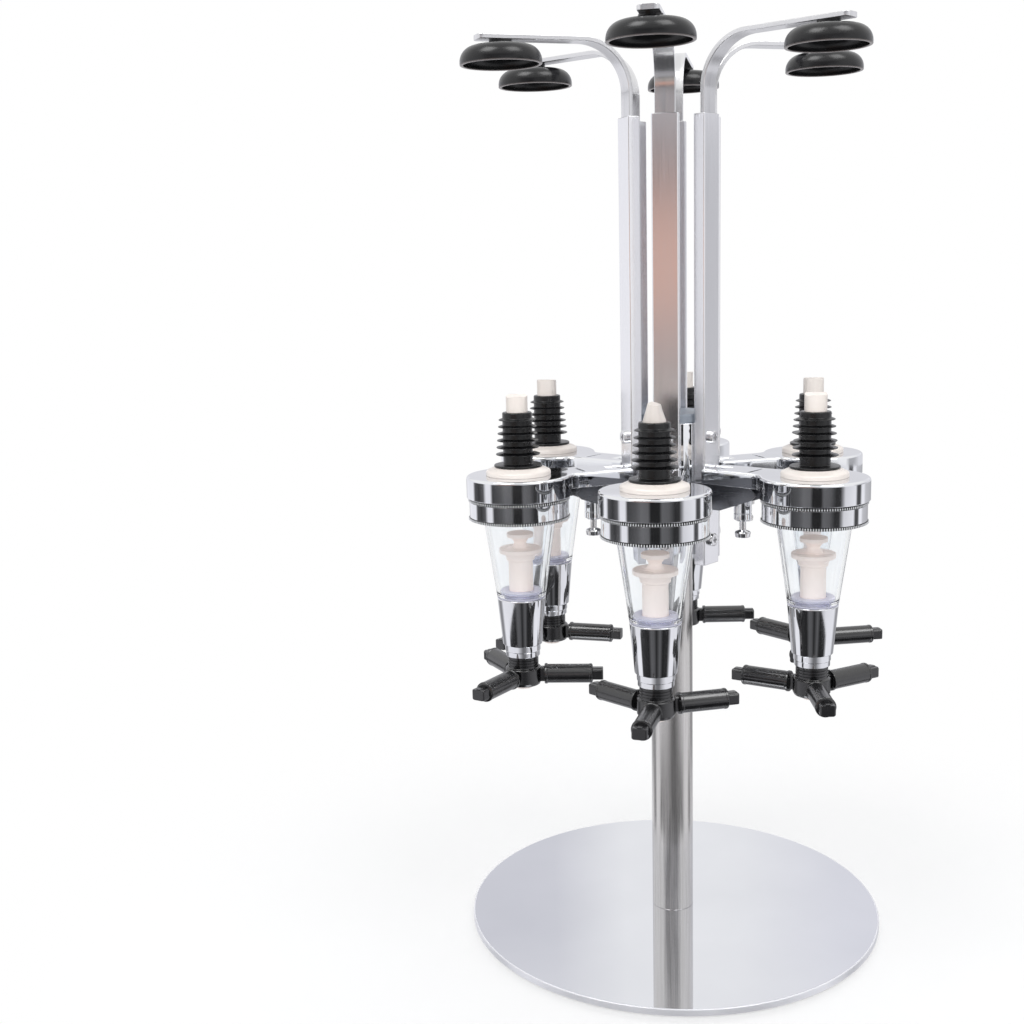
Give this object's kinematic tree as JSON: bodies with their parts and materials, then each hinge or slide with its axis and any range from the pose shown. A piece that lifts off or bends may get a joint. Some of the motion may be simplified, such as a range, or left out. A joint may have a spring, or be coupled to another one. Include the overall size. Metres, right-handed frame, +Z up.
{
  "type": "rotary liquor dispenser",
  "caption": "Free-standing bar stand whose carousel turns on a pole and holds bottles upside down between sprung cups and push-up measures with clear chambers",
  "frame": {"origin": "middle of the base's underside, on the pole's axis", "axes": "+Z up the pole; the first station (suffix 1) faces -Y and the others follow counter-clockwise seen from above, one every 60 degrees"},
  "size_m": [0.2524, 0.275, 0.522],
  "materials": {
    "mirror_steel": "mirror-polished stainless steel",
    "pad_rubber": "matt foam rubber",
    "satin_steel": "satin stainless tube, fine lengthwise grain",
    "plated_steel": "bright zinc plate",
    "chrome": "bright chrome plate",
    "cap_grey": "satin blue-grey plastic",
    "bush_white": "natural white bearing plastic",
    "aluminium": "satin anodised aluminium",
    "screw_steel": "bright plated steel",
    "bracket_steel": "dark plated sheet steel",
    "seal_rubber": "matt black rubber",
    "clear_plastic": "clear polished plastic",
    "ivory_plastic": "ivory moulded plastic",
    "bung_rubber": "satin black rubber",
    "spring_steel": "bright spring wire",
    "cup_black": "satin black soft plastic",
    "trigger_black": "satin black plastic",
    "grip_rubber": "satin black rubber"
  },
  "bodies": {
    "base": {"base_plate": "mirror_steel", "base_pad": "pad_rubber", "pole": "satin_steel", "tie_rod": "plated_steel", "pivot_plug": "plated_steel"},
    "carousel": {"hub": "chrome", "hub_cap": "cap_grey", "hub_bushes": "bush_white", "uprights": "aluminium", "upright_screws": "screw_steel", "brackets": "bracket_steel", "bracket_rivets": "screw_steel", "holders": "chrome", "ring_nuts": "chrome", "chamber_seals": "seal_rubber", "chambers": "clear_plastic", "inlet_tubes": "ivory_plastic", "bungs": "bung_rubber", "nozzle_sleeves": "chrome", "nozzle_rings": "chrome", "trigger_springs": "spring_steel", "plunger_housings": "chrome", "plunger_springs": "spring_steel", "arm_springs": "spring_steel"},
    "lift_1": {"lift_arm_1": "aluminium", "cup_1": "cup_black"},
    "trigger_1": {"valve_1": "ivory_plastic", "trigger_1": "trigger_black", "grips_1": "grip_rubber"},
    "plunger_1": {"plunger_1": "chrome"},
    "lift_2": {"lift_arm_2": "aluminium", "cup_2": "cup_black"},
    "trigger_2": {"valve_2": "ivory_plastic", "trigger_2": "trigger_black", "grips_2": "grip_rubber"},
    "plunger_2": {"plunger_2": "chrome"},
    "lift_3": {"lift_arm_3": "aluminium", "cup_3": "cup_black"},
    "trigger_3": {"valve_3": "ivory_plastic", "trigger_3": "trigger_black", "grips_3": "grip_rubber"},
    "plunger_3": {"plunger_3": "chrome"},
    "lift_4": {"lift_arm_4": "aluminium", "cup_4": "cup_black"},
    "trigger_4": {"valve_4": "ivory_plastic", "trigger_4": "trigger_black", "grips_4": "grip_rubber"},
    "plunger_4": {"plunger_4": "chrome"},
    "lift_5": {"lift_arm_5": "aluminium", "cup_5": "cup_black"},
    "trigger_5": {"valve_5": "ivory_plastic", "trigger_5": "trigger_black", "grips_5": "grip_rubber"},
    "plunger_5": {"plunger_5": "chrome"},
    "lift_6": {"lift_arm_6": "aluminium", "cup_6": "cup_black"},
    "trigger_6": {"valve_6": "ivory_plastic", "trigger_6": "trigger_black", "grips_6": "grip_rubber"},
    "plunger_6": {"plunger_6": "chrome"}
  },
  "joints": [
    {"name": "carousel_turn", "type": "hinge", "parent": "base", "child": "carousel", "pos_m": [0, 0, 0.27], "axis": [0, 0, 1], "continuous": true},
    {"name": "lift_1", "type": "slide", "parent": "carousel", "child": "lift_1", "axis": [0, 0, 1], "range_m": [0, 0.11], "stiffness_N_per_m": 40, "springref_m": -0.05, "deforming": ["arm_springs"]},
    {"name": "trigger_1", "type": "slide", "parent": "carousel", "child": "trigger_1", "axis": [0, 0, 1], "range_m": [0, 0.005], "stiffness_N_per_m": 400, "springref_m": -0.008, "deforming": ["trigger_springs"]},
    {"name": "plunger_1", "type": "slide", "parent": "carousel", "child": "plunger_1", "axis": [0, 0, -1], "range_m": [0, 0.005], "stiffness_N_per_m": 400, "springref_m": -0.006, "deforming": ["plunger_springs"]},
    {"name": "lift_2", "type": "slide", "parent": "carousel", "child": "lift_2", "axis": [0, 0, 1], "range_m": [0, 0.11], "stiffness_N_per_m": 40, "springref_m": -0.05, "deforming": ["arm_springs"]},
    {"name": "trigger_2", "type": "slide", "parent": "carousel", "child": "trigger_2", "axis": [0, 0, 1], "range_m": [0, 0.005], "stiffness_N_per_m": 400, "springref_m": -0.008, "deforming": ["trigger_springs"]},
    {"name": "plunger_2", "type": "slide", "parent": "carousel", "child": "plunger_2", "axis": [0, 0, -1], "range_m": [0, 0.005], "stiffness_N_per_m": 400, "springref_m": -0.006, "deforming": ["plunger_springs"]},
    {"name": "lift_3", "type": "slide", "parent": "carousel", "child": "lift_3", "axis": [0, 0, 1], "range_m": [0, 0.11], "stiffness_N_per_m": 40, "springref_m": -0.05, "deforming": ["arm_springs"]},
    {"name": "trigger_3", "type": "slide", "parent": "carousel", "child": "trigger_3", "axis": [0, 0, 1], "range_m": [0, 0.005], "stiffness_N_per_m": 400, "springref_m": -0.008, "deforming": ["trigger_springs"]},
    {"name": "plunger_3", "type": "slide", "parent": "carousel", "child": "plunger_3", "axis": [0, 0, -1], "range_m": [0, 0.005], "stiffness_N_per_m": 400, "springref_m": -0.006, "deforming": ["plunger_springs"]},
    {"name": "lift_4", "type": "slide", "parent": "carousel", "child": "lift_4", "axis": [0, 0, 1], "range_m": [0, 0.11], "stiffness_N_per_m": 40, "springref_m": -0.05, "deforming": ["arm_springs"]},
    {"name": "trigger_4", "type": "slide", "parent": "carousel", "child": "trigger_4", "axis": [0, 0, 1], "range_m": [0, 0.005], "stiffness_N_per_m": 400, "springref_m": -0.008, "deforming": ["trigger_springs"]},
    {"name": "plunger_4", "type": "slide", "parent": "carousel", "child": "plunger_4", "axis": [0, 0, -1], "range_m": [0, 0.005], "stiffness_N_per_m": 400, "springref_m": -0.006, "deforming": ["plunger_springs"]},
    {"name": "lift_5", "type": "slide", "parent": "carousel", "child": "lift_5", "axis": [0, 0, 1], "range_m": [0, 0.11], "stiffness_N_per_m": 40, "springref_m": -0.05, "deforming": ["arm_springs"]},
    {"name": "trigger_5", "type": "slide", "parent": "carousel", "child": "trigger_5", "axis": [0, 0, 1], "range_m": [0, 0.005], "stiffness_N_per_m": 400, "springref_m": -0.008, "deforming": ["trigger_springs"]},
    {"name": "plunger_5", "type": "slide", "parent": "carousel", "child": "plunger_5", "axis": [0, 0, -1], "range_m": [0, 0.005], "stiffness_N_per_m": 400, "springref_m": -0.006, "deforming": ["plunger_springs"]},
    {"name": "lift_6", "type": "slide", "parent": "carousel", "child": "lift_6", "axis": [0, 0, 1], "range_m": [0, 0.11], "stiffness_N_per_m": 40, "springref_m": -0.05, "deforming": ["arm_springs"]},
    {"name": "trigger_6", "type": "slide", "parent": "carousel", "child": "trigger_6", "axis": [0, 0, 1], "range_m": [0, 0.005], "stiffness_N_per_m": 400, "springref_m": -0.008, "deforming": ["trigger_springs"]},
    {"name": "plunger_6", "type": "slide", "parent": "carousel", "child": "plunger_6", "axis": [0, 0, -1], "range_m": [0, 0.005], "stiffness_N_per_m": 400, "springref_m": -0.006, "deforming": ["plunger_springs"]}
  ]
}
